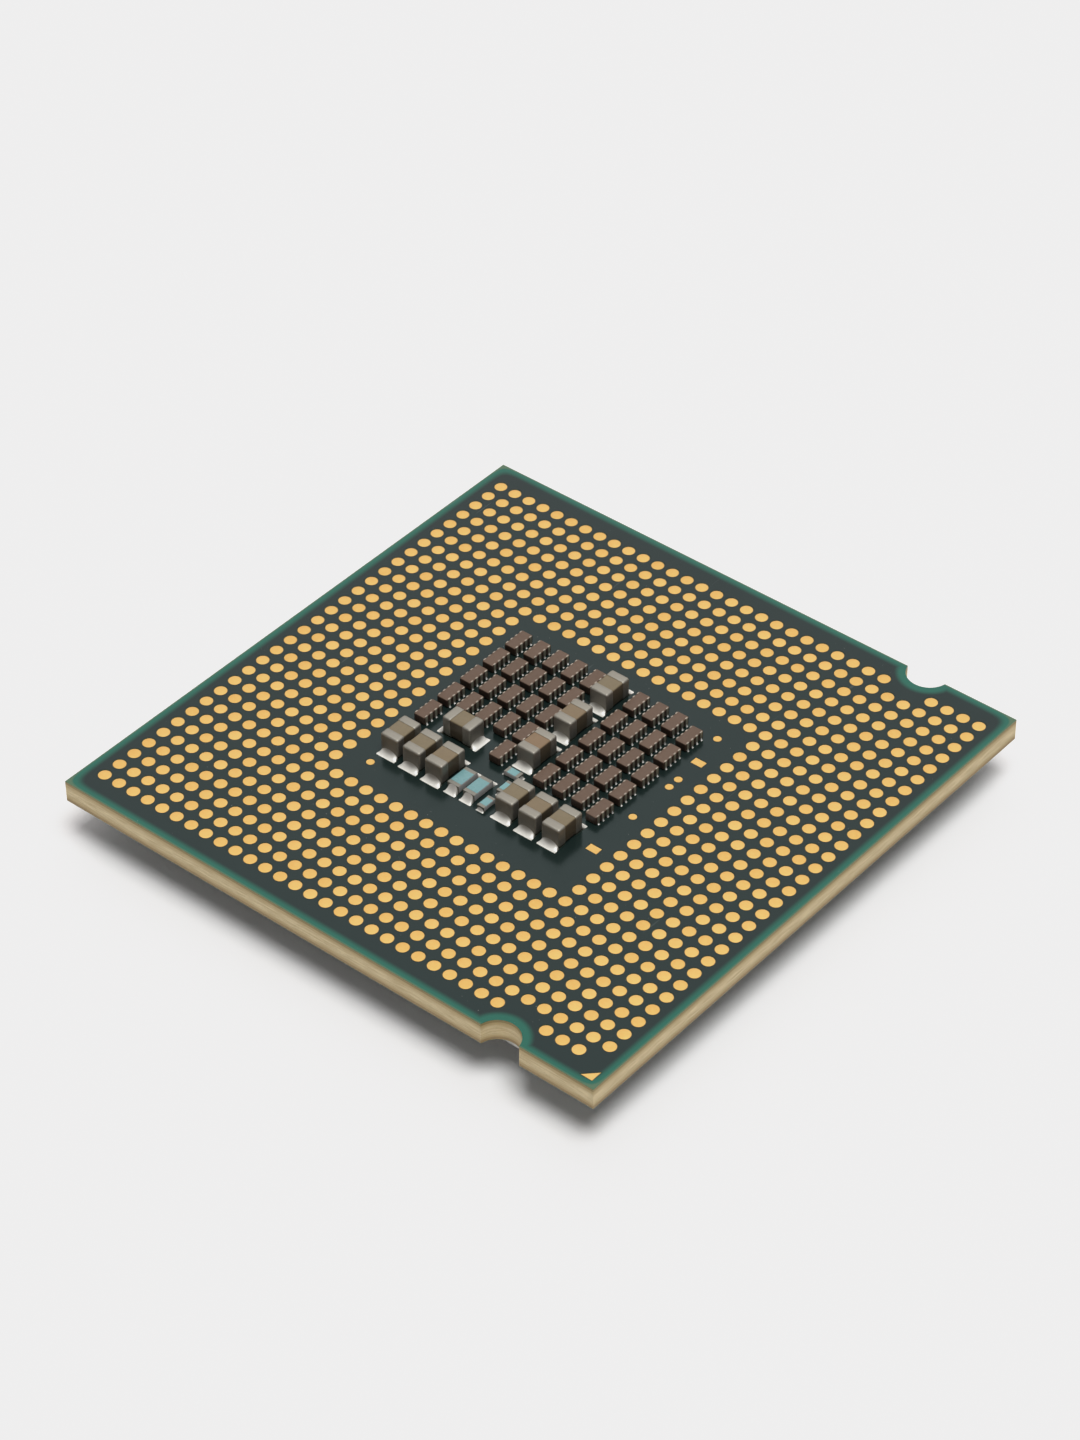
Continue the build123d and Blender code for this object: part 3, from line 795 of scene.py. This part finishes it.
def strip_outline(height, wrap, thickness):
    """A C-shaped strip seen from its side: round the outside from below, then back inside."""
    corner = 1.6 * thickness
    steps = 4
    outline = [(-wrap, 0)]
    for centre, start in ((corner, -90), (height - corner, 0)):
        for step in range(steps + 1):
            angle = math.radians(start + 90 * step / steps)
            outline.append((-corner + corner * math.cos(angle), centre + corner * math.sin(angle)))
    outline.append((-wrap, height))
    upper = height - thickness
    return outline + [(-wrap, upper), (-thickness, upper), (-thickness, thickness), (-wrap, thickness)]


def wrap_strip(mesh, place, length, width, height, wrap, thickness):
    """A C-shaped metal strip round one end of a chip. X points outwards from the chip's centre."""
    outline = strip_outline(height, wrap, thickness)
    bevel = 0.3 * thickness
    rings = []
    for y in (-width / 2, -width / 2 + bevel, width / 2 - bevel, width / 2):
        rings.append([Vector((length / 2 + x, y, z - height / 2)) for x, z in outline])
    loft(mesh, rings, place)


def add_chips():
    coats = bmesh.new()
    joints = bmesh.new()
    strips = {kind: bmesh.new() for kind in CHIPS}
    for kind, facts in CHIPS.items():
        for node in numbered(f"{kind}_chip_resistor_"):
            low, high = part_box(node)
            body = bmesh.new()
            rounded_block(body, spans(low, high), CHIP_ROUND, seat(low, high), steps=3)
            new_piece(f"{node}_body", body, "alumina", [node])
            shell = Vector((0, 0, CHIP_SHELL))
            shell[long_axis(low, high)] = CHIP_SHELL
            low, high = low - shell, high + shell
            length, width, height = spans(low, high)
            place = seat(low, high)
            coat_size = (length - 2 * facts["wrap"], width - 2 * COAT_MARGIN, COAT_THICKNESS)
            coat_level = height / 2 - CHIP_SHELL + COAT_THICKNESS / 2
            coat_place = place @ Matrix.Translation((0, 0, coat_level))
            rounded_block(coats, coat_size, COAT_ROUND, coat_place, steps=3)
            for flip, foot in ends(low, high):
                wrap_strip(strips[kind], place @ flip, length, width, height, facts["wrap"], CHIP_SHELL)
                solder_fillet(joints, foot, **facts["joint"])
    for kind, mesh in strips.items():
        new_piece(f"{kind}_chip_end_strips", mesh, "tin_plate", [f"{kind}_chip_terminals"],
                  look="chip_tin")
    new_piece("chip_coats", coats, "glass_coat", ["chip_glass_coats"])
    new_piece("chip_solder", joints, "solder", ["solder_joints_chips"], angle=60.0, look="chip_solder")


# ---------------------------------------------------------------- array capacitors

ARRAY_WIDTH = 0.80 * MM
ARRAY_SHELL = 0.015 * MM
ARRAY_WRAP = 0.08 * MM
ARRAY_ROUND = 0.055 * MM
TERMINALS_A_SIDE = 4
TERMINAL_PITCH = 0.40 * MM
TERMINAL_WIDTH = 0.18 * MM
ARRAY_JOINT = {
    "wrap": 0.10 * MM, "reach": 0.055 * MM, "climb": 0.11 * MM, "width": 0.11 * MM, "gap": 0.03 * MM}
BANK_ONE_ROWS = 5
ARRAY_CLIMB = (0.6, 1.5)


def add_array_row(node, strips, joints):
    """The capacitors of one row, with four strips and fillets along both sides of each."""
    bodies = bmesh.new()
    for low, high in islands(node):
        place = seat(low, high)
        rounded_block(bodies, spans(low, high), ARRAY_ROUND, place)
        height = high.z - low.z + 2 * ARRAY_SHELL
        for index in range(TERMINALS_A_SIDE):
            along = (index - (TERMINALS_A_SIDE - 1) / 2) * TERMINAL_PITCH
            for side in (1, -1):
                turn = Matrix.Rotation(math.radians(90 * side), 4, "Z")
                spot = place @ Matrix.Translation((along, 0, 0)) @ turn
                wrap_strip(strips, spot, ARRAY_WIDTH, TERMINAL_WIDTH, height, ARRAY_WRAP, ARRAY_SHELL)
                foot = spot @ Matrix.Translation((ARRAY_WIDTH / 2, 0, LAND_LEVEL - place.translation.z))
                joint = dict(ARRAY_JOINT, climb=ARRAY_JOINT["climb"] * rng.uniform(*ARRAY_CLIMB))
                solder_fillet(joints, foot, columns=6, rows=5, **joint)
    new_piece(f"{node}_bodies", bodies, "brown_ceramic", [node])


def add_array_capacitors():
    joints = bmesh.new()
    strips = {"one": bmesh.new(), "two": bmesh.new()}
    for number, node in enumerate(numbered("array_capacitor_row_"), start=1):
        add_array_row(node, strips["one" if number <= BANK_ONE_ROWS else "two"], joints)
    for bank, mesh in strips.items():
        new_piece(f"array_strips_bank_{bank}", mesh, "tin_plate", [f"array_terminals_bank_{bank}"],
                  look="thin_tin")
    new_piece("array_capacitor_solder", joints, "solder", ["solder_joints_array"], angle=60.0,
              look="dull_solder")


# ---------------------------------------------------------------- CAD nodes that stay


def dress_cad_nodes():
    """Gives every CAD node the material of its slot in the record."""
    slots = {part["node"]: part["material_slot"] for part in frame["record"]["subparts"]}
    for name, node in frame["nodes"].items():
        node.data.materials.clear()
        node.data.materials.append(MATERIALS[slots[name]])


add_camera()
set_world(dim=0.215, bright=1.00, aim=Vector((0.60, 0.50, 0.75)), inner=6, outer=38)
add_sun("top_light", azimuth=254, elevation=78, spread=36, strength=2.13, color=(1.0, 0.995, 0.99))
add_floor()
dress_cad_nodes()
add_lands()
add_bulk_capacitors()
add_chips()
add_array_capacitors()
set_tone()
